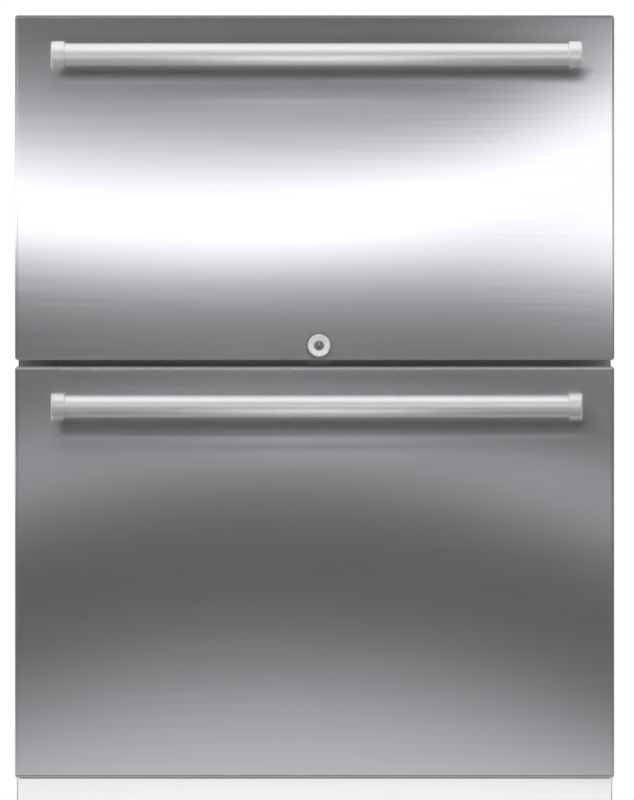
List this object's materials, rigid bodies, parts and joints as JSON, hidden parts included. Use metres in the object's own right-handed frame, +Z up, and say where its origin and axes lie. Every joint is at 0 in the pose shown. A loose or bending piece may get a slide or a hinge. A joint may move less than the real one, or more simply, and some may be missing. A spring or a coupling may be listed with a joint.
{
  "type": "undercounter drawer refrigerator",
  "caption": "Built-in undercounter refrigerator with stacked full-width stainless drawers, tubular bar handles and a key lock.",
  "frame": {"origin": "centre of the bounding box's footprint, on the floor under the feet", "axes": "+Z up, the drawer fronts face -Y, +X to the right of a person who faces the fronts"},
  "size_m": [0.603, 0.6722, 0.872],
  "materials": {
    "brushed_front": "horizontally brushed stainless steel, satin",
    "brushed_handle": "fine brushed stainless steel, satin",
    "satin_kick": "pale satin stainless steel",
    "stainless_trim": "satin stainless steel",
    "lock_chrome": "polished chrome plating",
    "lock_metal": "zinc-plated lock parts",
    "painted_shell": "black stucco-textured painted steel",
    "foam": "foamed-in-place polyurethane",
    "liner_plastic": "white moulded polystyrene, satin",
    "galvanised": "galvanised steel with a faint spangle",
    "slide_zinc": "bright zinc-plated steel",
    "screw_zinc": "zinc-plated steel",
    "gasket_grey": "grey flexible vinyl",
    "bin_plastic": "smooth moulded plastic, slightly glossy",
    "black_plastic": "black moulded plastic",
    "button_plastic": "pale grey keys",
    "display_glass": "dark glossy window",
    "light_diffuser": "opal diffuser",
    "compressor_black": "black enamelled steel",
    "mount_rubber": "black rubber",
    "copper": "copper pipe with thin fins",
    "coil_aluminium": "bare aluminium",
    "pan_plastic": "natural polypropylene",
    "foot_plastic": "black nylon"
  },
  "bodies": {
    "cabinet": {"outer_shell": "painted_shell", "insulation": "foam", "inner_liner": "liner_plastic", "face_frame": "stainless_trim", "center_mullion": "stainless_trim", "lock_strike": "stainless_trim", "base_frame": "galvanised", "toe_kick": "satin_kick", "rear_cover": "galvanised", "casing_screws": "screw_zinc", "counter_brackets": "stainless_trim", "cord_gland": "black_plastic", "compressor": "compressor_black", "compressor_grommets": "mount_rubber", "condenser_coil": "copper", "condenser_shroud": "black_plastic", "condenser_fan_motor": "black_plastic", "drain_pan": "pan_plastic", "drain_tube": "pan_plastic", "refrigerant_lines": "copper", "evaporator_coil": "coil_aluminium", "evaporator_cover": "liner_plastic", "evaporator_fan_motor": "black_plastic", "control_housing": "black_plastic", "display_window": "display_glass", "light_bars": "light_diffuser", "upper_slide_channels": "slide_zinc", "lower_slide_channels": "slide_zinc"},
    "upper_drawer": {"upper_front_panel": "brushed_front", "upper_door_body": "liner_plastic", "upper_gasket": "gasket_grey", "upper_handle_bar": "brushed_handle", "upper_handle_posts": "brushed_handle", "upper_handle_screws": "screw_zinc", "upper_drawer_frame": "slide_zinc", "upper_bin": "bin_plastic", "lock_housing": "lock_chrome"},
    "lower_drawer": {"lower_front_panel": "brushed_front", "lower_door_body": "liner_plastic", "lower_gasket": "gasket_grey", "lower_handle_bar": "brushed_handle", "lower_handle_posts": "brushed_handle", "lower_handle_screws": "screw_zinc", "lower_drawer_frame": "slide_zinc", "lower_bin": "bin_plastic"},
    "upper_slide_middle": {"upper_slide_middles": "slide_zinc"},
    "lower_slide_middle": {"lower_slide_middles": "slide_zinc"},
    "divider": {"bin_divider": "bin_plastic"},
    "lock_core": {"lock_plug": "lock_metal", "lock_cam": "lock_metal"},
    "condenser_blades": {"condenser_fan": "black_plastic"},
    "evaporator_blades": {"evaporator_fan": "black_plastic"},
    "power_key": {"button_power": "button_plastic"},
    "colder_key": {"button_colder": "button_plastic"},
    "warmer_key": {"button_warmer": "button_plastic"},
    "front_left_foot": {"foot_front_left": "foot_plastic"},
    "front_right_foot": {"foot_front_right": "foot_plastic"},
    "rear_left_foot": {"foot_rear_left": "foot_plastic"},
    "rear_right_foot": {"foot_rear_right": "foot_plastic"}
  },
  "joints": [
    {"name": "upper_drawer_slide", "type": "slide", "parent": "cabinet", "child": "upper_drawer", "axis": [0, -1, 0], "range_m": [0, 0.42]},
    {"name": "lower_drawer_slide", "type": "slide", "parent": "cabinet", "child": "lower_drawer", "axis": [0, -1, 0], "range_m": [0, 0.42]},
    {"name": "upper_middle_slide", "type": "slide", "parent": "cabinet", "child": "upper_slide_middle", "axis": [0, -1, 0], "range_m": [0, 0.21]},
    {"name": "lower_middle_slide", "type": "slide", "parent": "cabinet", "child": "lower_slide_middle", "axis": [0, -1, 0], "range_m": [0, 0.21]},
    {"name": "divider_slide", "type": "slide", "parent": "upper_drawer", "child": "divider", "axis": [1, 0, 0], "range_m": [-0.12, 0.12]},
    {"name": "lock_turn", "type": "hinge", "parent": "upper_drawer", "child": "lock_core", "pos_m": [0.0045, -0.27385, 0.5398], "axis": [0, 1, 0], "range_deg": [0, 90]},
    {"name": "condenser_fan_spin", "type": "hinge", "parent": "cabinet", "child": "condenser_blades", "pos_m": [-0.15, 0.21415, 0.11], "axis": [0, 1, 0], "continuous": true},
    {"name": "evaporator_fan_spin", "type": "hinge", "parent": "cabinet", "child": "evaporator_blades", "pos_m": [0, 0.24915, 0.375], "axis": [0, 1, 0], "continuous": true},
    {"name": "power_press", "type": "slide", "parent": "cabinet", "child": "power_key", "axis": [0, 1, 0], "range_m": [0, 0.0012], "stiffness_N_per_m": 800},
    {"name": "colder_press", "type": "slide", "parent": "cabinet", "child": "colder_key", "axis": [0, 1, 0], "range_m": [0, 0.0012], "stiffness_N_per_m": 800},
    {"name": "warmer_press", "type": "slide", "parent": "cabinet", "child": "warmer_key", "axis": [0, 1, 0], "range_m": [0, 0.0012], "stiffness_N_per_m": 800},
    {"name": "front_left_foot_screw", "type": "slide", "parent": "cabinet", "child": "front_left_foot", "axis": [0, 0, -1], "range_m": [0, 0.025]},
    {"name": "front_right_foot_screw", "type": "slide", "parent": "cabinet", "child": "front_right_foot", "axis": [0, 0, -1], "range_m": [0, 0.025]},
    {"name": "rear_left_foot_screw", "type": "slide", "parent": "cabinet", "child": "rear_left_foot", "axis": [0, 0, -1], "range_m": [0, 0.025]},
    {"name": "rear_right_foot_screw", "type": "slide", "parent": "cabinet", "child": "rear_right_foot", "axis": [0, 0, -1], "range_m": [0, 0.025]}
  ],
  "couplings": [
    {"joint": "upper_middle_slide", "follows": "upper_drawer_slide", "ratio": 0.5},
    {"joint": "lower_middle_slide", "follows": "lower_drawer_slide", "ratio": 0.5}
  ]
}
